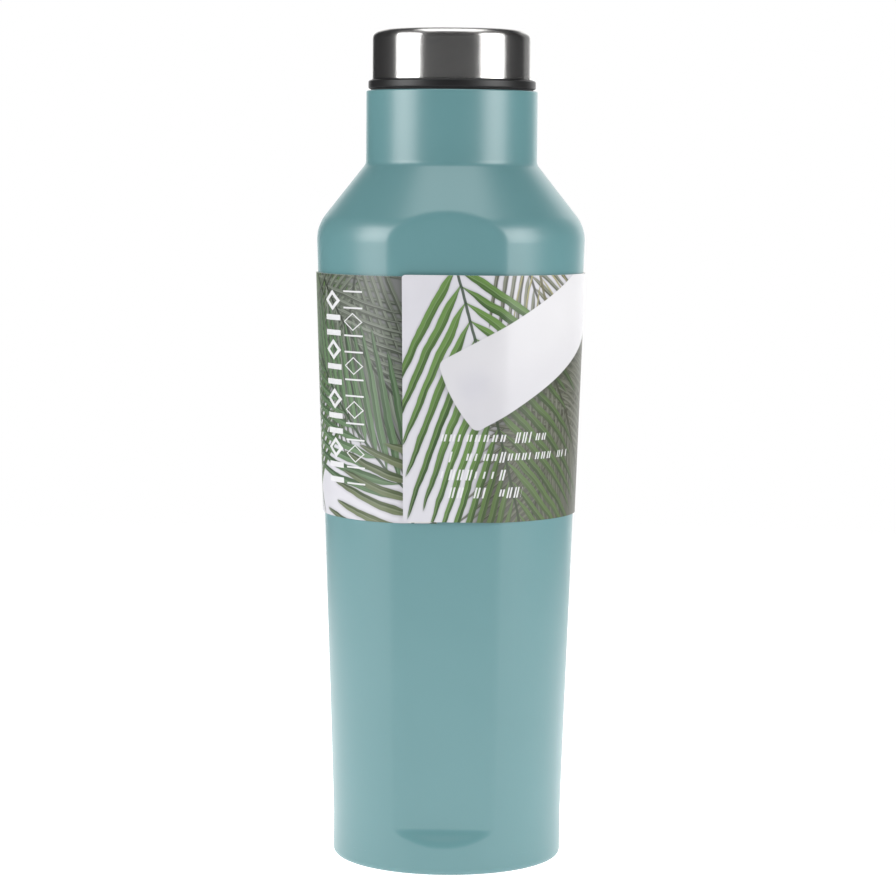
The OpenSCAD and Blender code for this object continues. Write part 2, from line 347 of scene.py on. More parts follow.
def paint(tree, shader, colour, roughness):
    """Gives the shader its colour and roughness."""
    plug(tree, (shader.inputs["Base Color"], shader.inputs["Roughness"]), (colour, roughness))


def linear(*srgb):
    """An sRGB colour of 0 to 255 as the linear light that shaders use."""
    c = np.array(srgb) / 255
    return tuple(float(x) for x in np.where(c < 0.04045, c / 12.92, ((c + 0.055) / 1.055) ** 2.4))


# %% [markdown]
# ## Teal enamel
# The body is sprayed and baked. The coat levels out almost flat, but keeps a faint orange peel about a
# millimetre across and fine pigment grain, which soften a reflection without looking rough. A flat colour
# with one roughness would look like plastic, so cloud and grain move the colour and roughness a little.

# %% Teal enamel
PEEL_SCALE, GRAIN_SCALE, CLOUD_SCALE = 900, 9000, 35  # noise cells in a metre


def teal_enamel():
    """Two close teals in a cloud, a little pale grain, and the relief of the orange peel."""
    material, tree, shader = new_material("teal_enamel", IOR=1.5)
    _, place = coordinates(tree)
    peel, grain, cloud = (noise(tree, place, n) for n in (PEEL_SCALE, GRAIN_SCALE, CLOUD_SCALE))
    colour = mix(tree, cloud, linear(77, 114, 117), linear(81, 118, 121))
    colour = mix(tree, grain * 0.1, colour, linear(100, 138, 141))
    paint(tree, shader, colour, 0.30 + cloud * 0.04 + grain * 0.04)
    bump(tree, shader, peel + grain * 0.15, 0.00001)
    return material


# %% [markdown]
# ## Steel
# The cap is brushed while it spins, so its scratches run round the axis. Light spreads across scratches
# and stays sharp along them. The anisotropic shine does that, stretched along the axis. Streaks come from
# noise that changes quickly across the scratches and slowly along them.

# %% Steel


def brushed_steel():
    """Streaks that run along u: fine ones in colour, roughness and relief, broad ones in roughness."""
    material, tree, shader = new_material(
        "brushed_steel", Metallic=1.0, Anisotropic=0.83, Anisotropic_Rotation=0.25)
    (u, v, _), _ = coordinates(tree, "UV")
    tangent = tree.nodes.new("ShaderNodeTangent")
    tangent.direction_type, tangent.axis = "RADIAL", "Z"
    tree.links.new(tangent.outputs[0], shader.inputs["Tangent"])
    fine = noise(tree, vector(tree, u * 0.12, v * 22, 0.0), 1.0, 3, 0.7)
    broad = noise(tree, vector(tree, u * 0.05, v * 3, 4.0), 1.0)
    colour = mix(tree, fine, linear(150, 149, 147), linear(200, 199, 197))
    paint(tree, shader, colour, 0.18 + fine * 0.1 + broad * 0.03)
    bump(tree, shader, fine, 0.000012)
    return material


def drawn_steel():
    """Electropolished sheet with the faint rings of the drawing die."""
    material, tree, shader = new_material("drawn_steel", Metallic=1.0)
    (u, v, _), _ = coordinates(tree, "UV")
    rings = noise(tree, vector(tree, u * 0.04, v * 6, 0.0), 1.0)
    colour = mix(tree, rings, linear(176, 176, 175), linear(204, 204, 202))
    paint(tree, shader, colour, 0.22 + rings * 0.12)
    bump(tree, shader, rings, 0.00001)
    return material


def sheet_metal(name, light, dark, rough):
    """Hidden metal: two tones in a soft mottle."""
    material, tree, shader = new_material(name, Metallic=1.0)
    mottle = noise(tree, coordinates(tree)[1], 400, 4)
    paint(tree, shader, mix(tree, mottle, linear(*dark), linear(*light)), rough + mottle * 0.15)
    bump(tree, shader, mottle, 0.00001)
    return material


# %% [markdown]
# ## Plastic, rubber, foam, glue and card
# Moulded plastic copies the fine spark-eroded grain of its mould. Silicone, foam, glue and the cut edge of
# card differ in grain, roughness and how far light sinks in; one function gives them their colour, grain and
# roughness.

# %% Grained materials


def grained(name, colour, rough, relief, scale=2600, **values):
    """One colour that lightens a little on the tops of a fine grain."""
    material, tree, shader = new_material(name, **values)
    grain = noise(tree, coordinates(tree)[1], scale, 3)
    low = linear(*colour)
    high = tuple(c * 1.15 + 0.004 for c in low)
    paint(tree, shader, mix(tree, grain, low, high), rough + grain * 0.1)
    bump(tree, shader, grain, relief)
    return material


ENAMEL = teal_enamel()
CAP_STEEL = brushed_steel()
FLASK_STEEL = drawn_steel()
COPPER = sheet_metal("copper_plating", (214, 142, 106), (176, 104, 74), 0.25)
BRAZE = sheet_metal("braze", (150, 152, 152), (112, 114, 116), 0.4)
GETTER = sheet_metal("getter", (92, 92, 96), (62, 62, 66), 0.6)
BLACK = grained("black_plastic", (12, 12, 13), 0.36, 0.000012, Specular_IOR_Level=0.3)
SILICONE = grained("silicone", (44, 44, 46), 0.5, 0.000006)
FOAM = grained("foam", (226, 222, 210), 0.8, 0.00006, scale=1500)
GLUE = grained("glue", (178, 178, 172), 0.3, 0.00002)
CARD = grained("card", (216, 213, 205), 0.7, 0.00001)
print("materials:", ", ".join(m.name for m in bpy.data.materials))

# %% [markdown]
# ## The pressed shell
# The outer wall starts as a turned tube: foot, slight taper, shoulder and neck. Three flats are then
# pressed in. A boolean cut would give them knife edges, and bevelling those edges where they run out over
# the shoulder is fragile. Here each point's radius is the smooth minimum of the tube's radius and the
# flat's, so every edge is rounded alike. The ledge under a flat meets it in a smooth maximum, as a hollow.

# %% Shape of the body
BODY_R = 37.75
SHOULDER_Z = 178.4
TAPER_Z = 12.0
NECK_R = 24.0
CONE_LEAN = math.radians(38.2)
NECK_Z = SHOULDER_Z + (BODY_R - NECK_R) / math.tan(CONE_LEAN)
WALL = 0.5
LIP = 1.0
FLAT_LOW_R, FLAT_Z = 29.7, 11.7
FLAT_LEAN, LEDGE_LEAN = math.radians(1.68), math.radians(39)
FLAT_ANGLES = np.radians([-90, 30, 150])
FLAT_REACH = 1.2  # radians to each side of its middle over which a flat can cut the tube
EDGE_SOFTNESS = 0.95  # how close the tube and a flat come before their edge starts to round
TAPER_ROUND, SHOULDER_ROUND, NECK_ROUND = 60, 11, 3
LIP_ROUND, LIP_INNER_ROUND = 0.43, 0.05

side_line = rounded(
    [(FOOT_R, SEAM_Z), (FOOT_R, TAPER_Z), (BODY_R, SHOULDER_Z), (NECK_R, NECK_Z), (NECK_R, MOUTH_Z - LIP)],
    [0, TAPER_ROUND, SHOULDER_ROUND, NECK_ROUND, 0], steps=14)


def smooth_least(a, b, k):
    """The smaller of a and b, lowered by h * h * k / 4 where h = 1 - |a - b| / k is above 0."""
    h = np.clip(1 - np.abs(a - b) / k, 0, 1)
    return np.minimum(a, b) - h * h * k / 4


def flat_distance(z):
    """Distance from the axis to a flat: a leaning line, with a ledge that climbs out of it at the foot."""
    flat = FLAT_LOW_R + (z - FLAT_Z) * math.tan(FLAT_LEAN)
    ledge = FLAT_LOW_R + (FLAT_Z - z) * math.tan(LEDGE_LEAN)
    return -smooth_least(-flat, -ledge, EDGE_SOFTNESS)


def pressed(r, distance, angles, softness=EDGE_SOFTNESS):
    """Radius at each angle once three flats at their distances are pressed into a tube of radius r.

    A plane at distance d cuts the direction at angle a from its middle at d / cos(a).
    """
    out = r + 0 * angles
    for middle, d in zip(FLAT_ANGLES, distance):
        away = np.abs((angles - middle + np.pi) % (2 * np.pi) - np.pi)
        out = smooth_least(out, d / np.cos(np.minimum(away, FLAT_REACH)), softness)
    return out


def body_angles():
    """Angles round the body, close together where a flat's edge runs and loose elsewhere."""
    stops, counts = np.radians([0, 12, 20, 29, 34, 60]), [6, 9, 22, 5, 7]
    runs = zip(stops, stops[1:], counts)
    half = np.concatenate([np.linspace(a, b, n, endpoint=False) for a, b, n in runs])
    sector = np.concatenate([-half[:0:-1], half, stops[-1:]])
    return np.concatenate([middle + sector for middle in FLAT_ANGLES])


# %% Painted shell
LEDGE_ZONE, SHOULDER_ZONE = (6.2, 14.5, 30), (171, 199, 64)  # from, to and how many rows
ROW_STEP, ROW_GAP = 6, 0.02  # between rows elsewhere, and the least gap between two rows


def painted_shell():
    """Rows climb the outside, turn over the lip and go down the inside, one sheet's thickness in."""
    z = np.unique(np.concatenate([
        side_line[:, 1], np.arange(SEAM_Z, MOUTH_Z - LIP, ROW_STEP),
        np.linspace(*LEDGE_ZONE), np.linspace(*SHOULDER_ZONE)]))
    z = z[np.concatenate([[True], np.diff(z) > ROW_GAP])]
    r = np.interp(z, side_line[:, 1], side_line[:, 0])
    lip = rounded([(NECK_R, MOUTH_Z - LIP), (NECK_R, MOUTH_Z), (NECK_R - WALL, MOUTH_Z),
                   (NECK_R - WALL, MOUTH_Z - LIP)], [0, LIP_ROUND, LIP_INNER_ROUND, 0])[1:-1]
    inner_z = np.append(z[:0:-2], z[0])  # the hidden side needs only half the rows
    inner_r = np.interp(inner_z, z, r) - WALL
    r = np.concatenate([r, lip[:, 0], inner_r])[:, None]
    inset = np.concatenate([0 * z, 0 * lip[:, 0], 0 * inner_z + WALL])[:, None]
    z = np.concatenate([z, lip[:, 1], inner_z])[:, None]
    angles = body_angles()
    distance = flat_distance(z) - inset
    grid = around(pressed(r, [distance] * 3, angles), angles, z)
    u = np.append(angles, angles[0] + 2 * np.pi) * BODY_R
    v = arc_lengths(np.hstack([r, z])[np.append(np.arange(len(z)), 0)])
    return grid_mesh("painted_shell", grid, [ENAMEL], (u, v), closed_rows=True)


finish_piece(painted_shell(), "bottle", "teal_paint", "outer_shell")

# %% [markdown]
# ## Base
# A stamped cup closes the body. It gives the round foot, and its middle is pushed up so that the bottle
# stands on a ring. A dished cover with a pressed step hides the pumping point. Both are turned shapes.

# %% Base cup and cover
UPSTAND_R = 28.6
PLATE_Z = 3.3
DIMPLE_R, DIMPLE_TOP_R, DIMPLE_H, PORT_R = 5, 3.8, 1.5, 1.0

base = lathe("base_cup", rounded(
    [(PORT_R, PLATE_Z + DIMPLE_H), (DIMPLE_TOP_R, PLATE_Z + DIMPLE_H), (DIMPLE_R, PLATE_Z),
     (UPSTAND_R, PLATE_Z), (UPSTAND_R, 0), (FOOT_R, 0), (FOOT_R, SEAM_Z), (FOOT_R - WALL, SEAM_Z),
     (FOOT_R - WALL, WALL), (UPSTAND_R + WALL, WALL), (UPSTAND_R + WALL, PLATE_Z + WALL),
     (DIMPLE_R + WALL, PLATE_Z + WALL), (DIMPLE_TOP_R + WALL, PLATE_Z + WALL + DIMPLE_H),
     (PORT_R, PLATE_Z + WALL + DIMPLE_H)],
    [0.05, 0.4, 0.4, 0.6, 0.6, 1.6, 0, 0, 1.1, 0.3, 0.6, 0.4, 0.4, 0.05], closed=True),
    ENAMEL, columns=256)
finish_piece(base, "bottle", "teal_paint", "outer_base")

cover_low, cover_high = heights("base_cover")
COVER_R, COVER_T, STEP_R, STEP_H = radius("base_cover"), 0.6, 21.0, 0.35
cover = lathe("base_cover_disc", rounded(
    [(0, cover_low + STEP_H), (STEP_R, cover_low + STEP_H), (STEP_R + 1, cover_low), (COVER_R, cover_low),
     (COVER_R, cover_high), (COVER_R - COVER_T, cover_high), (COVER_R - COVER_T, cover_low + COVER_T),
     (STEP_R + 0.8, cover_low + COVER_T), (STEP_R - 0.2, cover_low + COVER_T + STEP_H),
     (0, cover_low + COVER_T + STEP_H)],
    [0, 0.6, 0.6, 0.8, 0.2, 0.2, 0.2, 0.4, 0.4, 0]), ENAMEL, closed=False)
finish_piece(cover, "bottle", "teal_paint", "base_cover")

# %% [markdown]
# ## Screw threads
# A thread is one rib carried up a helix: as the angle grows by a turn, the height grows by the pitch. Each
# end of the rib shrinks to a point inside its wall, as a rolled or moulded thread runs out.

# %% Threads
PITCH = 4.0
RIB_TURNS = 1.5
RIB_Z = 203.2
RUN_OUT = 40  # degrees over which an end of the rib grows out of its wall
SUNK = 0.3  # how deep the rib's foot lies in the wall


def screw_rib(name, wall_r, height, foot_w, crest_w, z, material):
    """A rounded rib swept along a helix from angle 0; a negative height points it at the axis."""
    reach = abs(height) + SUNK
    section = rounded([(0, -foot_w / 2), (reach, -crest_w / 2), (reach, crest_w / 2), (0, foot_w / 2)],
                      0.25, steps=4, closed=True)
    section = section[::-1] if height < 0 else section
    out = math.copysign(1, height)
    turn = np.linspace(360 * RIB_TURNS, 0, 240)[:, None]
    grown = np.sqrt(np.clip(np.minimum(turn, 360 * RIB_TURNS - turn) / RUN_OUT, 0, 1))
    r = wall_r - out * SUNK + out * section[:, 0] * grown
    h = z + PITCH * turn / 360 + section[:, 1] * grown
    a = np.radians(turn)
    grid = np.stack([r * np.cos(a), r * np.sin(a), h], -1)
    uv = arc_lengths(np.vstack([section, section[:1]])), a[:, 0] * wall_r
    return grid_mesh(name, grid, [material], uv)


# %% [markdown]
# ## Flask
# The inner wall is a drawn tube that follows the shoulder inside, narrows to the neck and turns out at the
# mouth, where it is welded to the outer wall. With the cap off its polished neck shows, so it has the
# rolled thread, a soft lead-in and the bead of the lip.

# %% Flask wall and bottom
LINER = 0.4
BORE_R = 21.9
FLASK_GAP = 3.2  # between the outer wall and the flask, where the vacuum is
FLANGE_LOW, FLANGE_HIGH = 2.7, 1.6  # how far below the mouth the turned-out lip starts and ends
flask_r, weld_z = radius("flask_bottom"), heights("flask_bottom")[1]
cone_r = BODY_R - FLASK_GAP / math.cos(CONE_LEAN)
side, cone = math.tan(FLAT_LEAN), math.tan(CONE_LEAN)
rise = (cone_r - flask_r - (SHOULDER_Z - weld_z) * side) / (side + cone)
shoulder_r, shoulder_z = cone_r - rise * cone, SHOULDER_Z + rise
throat_z = SHOULDER_Z + (cone_r - BORE_R - LINER) / cone

flask = lathe("flask_tube", rounded(
    [(flask_r, weld_z), (shoulder_r, shoulder_z), (BORE_R + LINER, throat_z),
     (BORE_R + LINER, MOUTH_Z - FLANGE_LOW), (NECK_R - WALL, MOUTH_Z - FLANGE_HIGH),
     (NECK_R - WALL, MOUTH_Z), (BORE_R, MOUTH_Z), (BORE_R, throat_z), (shoulder_r - LINER, shoulder_z),
     (flask_r - LINER, weld_z)],
    [0, 9, 3, 0.4, 0.4, 0.2, 0.7, 3, 9, 0], steps=8), FLASK_STEEL)
flask = join(flask, screw_rib("neck_thread", BORE_R, -0.8, 1.7, 0.8, RIB_Z, FLASK_STEEL))
finish_piece(flask, "bottle", "flask_steel", "flask_wall")

FLASK_CORNER_R, DOME_H = 5, 1.8
flask_low = heights("flask_bottom")[0]
dome_edge = flask_r - FLASK_CORNER_R
dome_r = np.linspace(0, dome_edge, 14)
dome = np.stack([dome_r, flask_low + DOME_H * (1 - (dome_r / dome_edge) ** 2)], 1)
corner = rounded(
    [(dome_edge - 1, flask_low), (flask_r, flask_low), (flask_r, weld_z)],
    [0, FLASK_CORNER_R, 0], steps=10)
corner = corner[corner[:, 0] > dome_edge]
inside = corner[::-1] - [LINER, 0]
inside[:, 1] = np.maximum(inside[:, 1], flask_low + LINER)
cup_line = np.vstack([dome, corner, inside, dome[::-1] + [0, LINER]])
flask_cup = lathe("flask_cup", cup_line, FLASK_STEEL, closed=False)
finish_piece(flask_cup, "bottle", "flask_steel", "flask_bottom")

# %% [markdown]
# ## Cap
# A brushed steel cup sits on a black core. The core is one moulding: the rim that shows as a dark band,
# and a hollow plug with the outside thread. A real cup has a soft top edge and a hair of radius below.

# %% Cap cup
CAP_WALL = 0.6
CAP_ROUND = 2.3
cup = lathe("cap_cup", rounded(
    [(0, CAP_HIGH - CAP_WALL), (CAP_R - CAP_WALL, CAP_HIGH - CAP_WALL), (CAP_R - CAP_WALL, CAP_LOW),
     (CAP_R, CAP_LOW), (CAP_R, CAP_HIGH), (0, CAP_HIGH)],
    [0, CAP_ROUND - CAP_WALL, 0.15, 0.2, CAP_ROUND, 0], steps=12), CAP_STEEL, closed=False, columns=256)
finish_piece(cup, "cap", "cap_steel", "cap_shell")

# %% Cap core, plug and seal
PLUG_R, PLUG_BORE_R = 20.3, 18.5
RIM_Z = CAP_LOW - 2.4
SEAT_R, SEAT_Z = 23.0, RIM_Z + 1.0
CORE_R = 21.75
PLATE_T = 1.7
plug_z, core_top = heights("cap_core")
core = lathe("cap_core_moulding", rounded(
    [(0, core_top - PLATE_T), (PLUG_BORE_R, core_top - PLATE_T), (PLUG_BORE_R, plug_z), (PLUG_R, plug_z),
     (PLUG_R, SEAT_Z), (SEAT_R, SEAT_Z), (SEAT_R, RIM_Z), (RIM_R, RIM_Z), (RIM_R, CAP_LOW),
     (CORE_R, CAP_LOW), (CORE_R, core_top), (0, core_top)],
    [0, 0.6, 0.2, 0.8, 0.15, 0.15, 0.1, 0.45, 0.6, 0.15, 0.6, 0]), BLACK, closed=False)
core = join(core, screw_rib("plug_thread", PLUG_R, 1.3, 2.0, 0.9, RIB_Z + PITCH / 2, BLACK))
finish_piece(core, "cap", "black_plastic", "cap_core")

seal_low, seal_high = heights("neck_seal")
seal_in, seal_out = PLUG_R + 0.15, radius("neck_seal")
seal = lathe("seal_ring", rounded(
    [(seal_in, seal_low + 0.3), (seal_in + 0.8, seal_low), (seal_out - 0.3, seal_low),
     (seal_out, seal_low + 0.4), (seal_out, seal_high), (seal_in, seal_high)], 0.2, closed=True), SILICONE)
finish_piece(seal, "seal", "silicone", "neck_seal")

DISC_STEP_R, DISC_STEP = 13.0, 0.5
disc_low, disc_high = heights("plug_cover")
disc = lathe("plug_disc", rounded(
    [(0, disc_low + DISC_STEP), (DISC_STEP_R, disc_low + DISC_STEP), (DISC_STEP_R + 0.7, disc_low),
     (PLUG_BORE_R, disc_low), (PLUG_BORE_R, disc_high), (0, disc_high)],
    [0, 0.3, 0.3, 0.15, 0.1, 0]), BLACK, closed=False)
finish_piece(disc, "cap", "black_plastic", "plug_cover")

# %% [markdown]
# ## Hidden pieces
# Bead, getter, copper layer, foam and glue never show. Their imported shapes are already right, so they keep
# them and only take their own materials.

# %% Materials for the hidden pieces
HIDDEN = {"evac_bead": BRAZE, "getter_pill": GETTER, "getter_clip": FLASK_STEEL, "copper_layer": COPPER,
          "sleeve_glue": GLUE, "cap_glue": GLUE, "cap_foam": FOAM}
for node, material in HIDDEN.items():
    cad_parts[node].data.materials.clear()
    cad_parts[node].data.materials.append(material)
print("hidden pieces:", ", ".join(HIDDEN))

# %% [markdown]
# ## Printed sleeve
# The sleeve is one strip of coated card. It starts with the front panel's free edge, goes once round the
# bottle and ends in a tongue that is glued under the front panel. It lies straight over each flat and
# bends round the sides, so its shape is the pressed body again, a little larger and with softer edges.

# %% Sleeve shape
CARD_T = 0.4
CARD_GAP = 0.15
GLUE_T = 0.2
BULGE = 0.8  # how far the card stands off the two rear flats
CARD_SOFTNESS = 1.4
SLANT = 0.45  # the strip sinks this much in one turn, as it is wrapped a little askew
CORNER_R = 0.8
SEAM_X, SEAM_Y = 11.5, 33.5  # the free edge lies this far left of the axis and in front of it
SEAM_ANGLE = math.radians(-90) - math.atan2(SEAM_X, SEAM_Y)
TONGUE = math.radians(15)
LAYER_ENDS = np.radians([34, 60])  # where the front panel comes down from the tongue to the body
SLEEVE_ROWS = 14


def sleeve_radius(sweep, z):
    """Radius of the card's inner face: the body's, and the tongue's thickness where it lies below."""
    t = np.clip((LAYER_ENDS[1] - sweep) / (LAYER_ENDS[1] - LAYER_ENDS[0]), 0, 1)
    over = (CARD_T + GLUE_T) * t * t * (3 - 2 * t)
    tube = np.interp(z, side_line[:, 1], side_line[:, 0])
    front, rear = flat_distance(z) + CARD_GAP + over, flat_distance(z) + CARD_GAP + BULGE
    return pressed(tube + CARD_GAP + over, [front, rear, rear], SEAM_ANGLE + sweep, CARD_SOFTNESS)


def card_strip():
    """Rows climb the printed face and go down the plain one; at both ends the two faces close up."""
    near = np.radians([0, 0, 0.1, 0.3, 0.6, 1.0, 1.5])
    far = 2 * np.pi + TONGUE
    once_round, tongue = np.radians(np.arange(2, 360, 1.0)), np.linspace(2 * np.pi, far, 14)
    sweep = np.concatenate([near, once_round, tongue, [far]])
    thick = np.full(len(sweep), CARD_T)
    thick[[0, -1]] = 0
    cut = np.maximum(0, CORNER_R - sweep * BODY_R)
    shrink = CORNER_R - np.sqrt(CORNER_R ** 2 - cut ** 2)
    slant = SLANT * (0.5 - sweep / (2 * np.pi))
    share = np.linspace(0, 1, SLEEVE_ROWS)[:, None]
    low, high = SLEEVE_LOW + shrink + slant, SLEEVE_HIGH - shrink + slant
    z = low + (high - low) * share
    middle = sleeve_radius(sweep, z) + CARD_T / 2
    r = np.vstack([middle + thick / 2, (middle - thick / 2)[::-1]])
    grid = around(r, SEAM_ANGLE + sweep, np.vstack([z, z[::-1]]))
    u = arc_lengths(grid[SLEEVE_ROWS // 2])
    face = share[:, 0] * (SLEEVE_HIGH - SLEEVE_LOW)
    v = np.concatenate([face, face[-1] + CARD_T + face, [2 * face[-1] + 2 * CARD_T]])
    kinds = np.ones((2 * SLEEVE_ROWS, len(sweep) - 1))
    kinds[:SLEEVE_ROWS - 1, 1:-1] = 0
    return grid, (u, v), kinds


card_grid, card_uv, card_kinds = card_strip()
STRIP_LENGTH = card_uv[0][-1]
SLEEVE_H = SLEEVE_HIGH - SLEEVE_LOW
print(f"card strip {STRIP_LENGTH:.0f} mm long, {SLEEVE_H:.1f} mm high")

# %% [markdown]
# ## Print
# The strip is printed with palm fronds over a pale ground. A frond is a stem with leaflets that leave it
# at an angle. In the frond's own axes, p along the stem and q across it, every point belongs to the
# leaflet that started at s = (p - lean q - curl q q) / (1 + fan q). Dividing s by the spacing gives each
# leaflet a number and a place across its width, so one formula draws them all.

# %% Inks
SHEEN = 0.03  # what the card's gloss adds to every ink
BRIGHT = 1.74  # how much light the front of the sleeve gets


def inked(*srgb):
    """The ink that shows as this sRGB colour once the card is lit and its gloss is added."""
    return tuple(max(0.004, (c - SHEEN) / BRIGHT) for c in linear(*srgb))


def lighter(colour, share):
    """An sRGB colour moved towards white by a share."""
    return tuple(c + (255 - c) * share for c in colour)


def darker(colour, share):
    """An sRGB colour moved towards black by a share."""
    return tuple(c * (1 - share) for c in colour)


# %% Fronds
STEM_HALF = 0.4  # half the width of a stem
VEIN_HALF = 0.17  # half the width of the pale vein along a leaflet
MIDDLE, STRAY = 0.42, 0.16  # a leaflet's place across its spacing, and how far chance moves it
SHORTEST, SPREAD = 0.8, 0.3  # a leaflet's length as a share of the reach, and what chance adds
FOLD = 0.3  # half the width over which a leaflet's lit side turns into its shaded side
OTHER_SIDE = 57.3  # added to a leaflet's number on one side, so that the two sides differ


def frond(tree, ground, x, y, at, heading, length, spacing, reach, width, lean, curl, fan, leaf, shade,
          seed, blur=0.12):
    """Lays one frond over the ground colour. Sizes in mm; heading in degrees from +x; returns a colour."""
    ca, sa = math.cos(math.radians(heading)), math.sin(math.radians(heading))
    dx, dy = x - at[0], y - at[1]
    p, q = dx * ca + dy * sa, dy * ca - dx * sa
    far = abs(q)
    s = (p - far * (lean + far * curl)) / (1 + far * fan)
    number = (s / spacing).floor()
    luck = (number + q.above(0) * OTHER_SIDE + seed).chance()
    across = (s / spacing - number - MIDDLE - luck * STRAY) * spacing
    off = abs(across)
    tip = (s * (-1 / length) + 1).most(0).root() * reach * (SHORTEST + luck * SPREAD)
    along = far / tip
    half = (1 - along * along).most(0).root() * along.step(-0.05, 0.2) * (width / 2)
    inside = half - off
    live = s.above(0) * (length - s).above(0) * along.step(1.02, 0.96)
    cast = inside.step(-0.9, 0.1) * live
    streak = noise(tree, vector(tree, across * 2.4, far * 0.09, number * 3.7), 1.0)
    tone = luck * 0.3 + along * along * 0.35 + across.step(-FOLD, FOLD) * 0.34 + (streak - 0.5) * 0.9
    colour = mix(tree, tone.step(0.0, 0.9), inked(*leaf), inked(*shade))
    colour = mix(tree, (VEIN_HALF - off).step(-0.1, 0.1) * 0.35, colour, inked(*lighter(leaf, 0.3)))
    ground = mix(tree, cast * 0.22, ground, inked(*darker(shade, 0.3)))
    ground = mix(tree, inside.step(-blur, blur) * live, ground, colour)
    stem = (STEM_HALF - far).step(-blur, blur) * p.above(0) * (length - p).above(0)
    return mix(tree, stem * 0.9, ground, inked(*darker(shade, 0.1)))


# %% Palm ground
STRIP_END = STRIP_LENGTH - TONGUE * BODY_R
GREEN, DEEP = (116, 150, 86), (62, 84, 50)
OLIVE, MURK = (142, 145, 129), (76, 78, 64)
MOSS, DUSK = (124, 133, 118), (68, 74, 64)
STRAW, REED = (176, 172, 120), (128, 124, 90)
FERN, GLADE = (112, 140, 104), (66, 90, 62)
WILLOW, BARK = (122, 132, 100), (66, 80, 54)
PALE = ((219, 218, 225), (229, 228, 234))

FRONT = [  # at, heading, length, spacing, reach, width, lean, curl, fan, leaf, shade, seed, blur
    ((62, 60), -112, 90, 3.1, 26, 2.2, 1.15, 0.006, 0.010, OLIVE, MURK, 3, 0.30),
    ((88, 44), -158, 62, 3.3, 24, 2.2, 1.20, 0.006, 0.010, OLIVE, MURK, 17, 0.30),
    ((33, 58), -56, 84, 3.4, 24, 2.1, 1.15, 0.008, 0.012, lighter(OLIVE, 0.12), MURK, 5, 0.22),
    ((27, 86), -66, 46, 4.4, 18, 2.4, 1.50, 0.004, 0.010, OLIVE, MURK, 29, 0.20),
    ((34, 82), -72, 40, 6.4, 16, 1.0, 1.70, 0.000, 0.010, STRAW, REED, 13, 0.14),
    ((13.7, 72), -74.4, 200, 5.0, 32, 3.5, 1.02, 0.003, 0.011, GREEN, DEEP, 21, 0.10),
]
REAR = [((92 + 30 * k, 70 - 68 * (k % 2)), -72 + 148 * (k % 2), 84, 4.6, 25, 3.2, 1.1, 0.01, 0.02,
         darker(GREEN, 0.15), DEEP, 31 + 9 * k, 0.18) for k in range(4)]
LEFT = [
    ((STRIP_END - 52, 80), -40, 96, 3.8, 24, 2.6, 1.20, 0.006, 0.010, MOSS, DUSK, 64, 0.32),
    ((STRIP_END - 10, 84), -104, 60, 3.6, 22, 2.4, 1.20, 0.006, 0.010, MOSS, DUSK, 77, 0.32),
    ((STRIP_END - 30, 66), -48, 62, 4.2, 15, 2.5, 1.40, 0.004, 0.010, lighter(MOSS, 0.1), DUSK, 71, 0.20),
    ((STRIP_END + 5, 5), 135, 66, 5.2, 25, 3.9, 1.30, 0.004, 0.010, FERN, GLADE, 92, 0.12),
    ((STRIP_END + 3, -9), 90, 30, 4.4, 38, 2.6, 0.22, 0.001, 0.004, WILLOW, BARK, 83, 0.14),
]


def palm_ground(tree, u, v, place):
    """Pale paper, two deep shades of distant leaves, and the fronds in front of them.

    Each shade is a product of smooth steps, one for each leaning line that bounds it. The place on the
    strip drifts by up to 0.6 mm, which keeps stems and leaflets from being perfectly straight.
    """
    drift = noise(tree, place, 0.12)
    x, y = u + drift * 1.2 - 0.6, v + noise(tree, vector(tree, v, u, 7.0), 0.12) * 1.2 - 0.6
    ground = mix(tree, drift, *(inked(*c) for c in PALE))
    low_right = (x - 25 + (24 - y) * 0.25).step(-4, 5) * (x * 0.7 + 22 - y).step(0, 6)
    low_right = low_right * (106 - x).step(0, 24)
    top_left = (x - STRIP_END + 80).step(0, 12) * (y + (x - STRIP_END) * 0.5).step(8, 28)
    ground = mix(tree, low_right * 0.86, ground, inked(*MURK))
    ground = mix(tree, top_left * 0.8, ground, inked(*DUSK))
    for values in FRONT + REAR + LEFT:
        ground = frond(tree, ground, x, y, *values)
    return mix(tree, low_right * 0.45, ground, inked(*MURK))


# %% Printed bottle
PRINT_TILT = math.radians(28.5)
PRINT_AT = (13.9, 33.6)  # the middle of its near end on the strip
PRINT_W, PRINT_ROUND, PRINT_SWELL = 21.6, 1.6, 0.012  # width, corner radius and bend of the ends


def box_shape(x, y, centre, size, round_r, blur=0.08):
    """1 inside a rounded rectangle: the distance outside its inner rectangle is under the radius."""
    dx = (abs(x - centre[0]) - (size[0] / 2 - round_r)).most(0)
    dy = (abs(y - centre[1]) - (size[1] / 2 - round_r)).most(0)
    return (round_r - (dx * dx + dy * dy).root()).step(-blur, blur)


def printed_bottle(tree, ground, u, v):
    """A plain pale bottle lying across the fronds: a long rounded bar with soft shading and a shadow."""
    ca, sa = math.cos(PRINT_TILT), math.sin(PRINT_TILT)
    dx, dy = u - PRINT_AT[0], v - PRINT_AT[1]
    along, across = dx * ca + dy * sa, dy * ca - dx * sa
    bent = along - across * across * PRINT_SWELL
    body = box_shape(bent, across, (60, 0), (120, PRINT_W), PRINT_ROUND, 0.12)
    cast = box_shape(bent, across, (60, -1.2), (122, PRINT_W + 1.4), 2.5, 1.8)
    lit = along.step(2, 52) * 0.75 + across.step(-9, 3) * 0.25
    face = mix(tree, lit, inked(220, 219, 224), inked(242, 241, 243))
    hollow = (1 - abs(across - 0.5) / 7).most(0) * along.step(0, 5) * along.step(16, 7)
    face = mix(tree, hollow.step(0, 1) * 0.5, face, inked(212, 211, 220))
    ground = mix(tree, cast * 0.35, ground, inked(70, 74, 66))
    return mix(tree, body, ground, face)


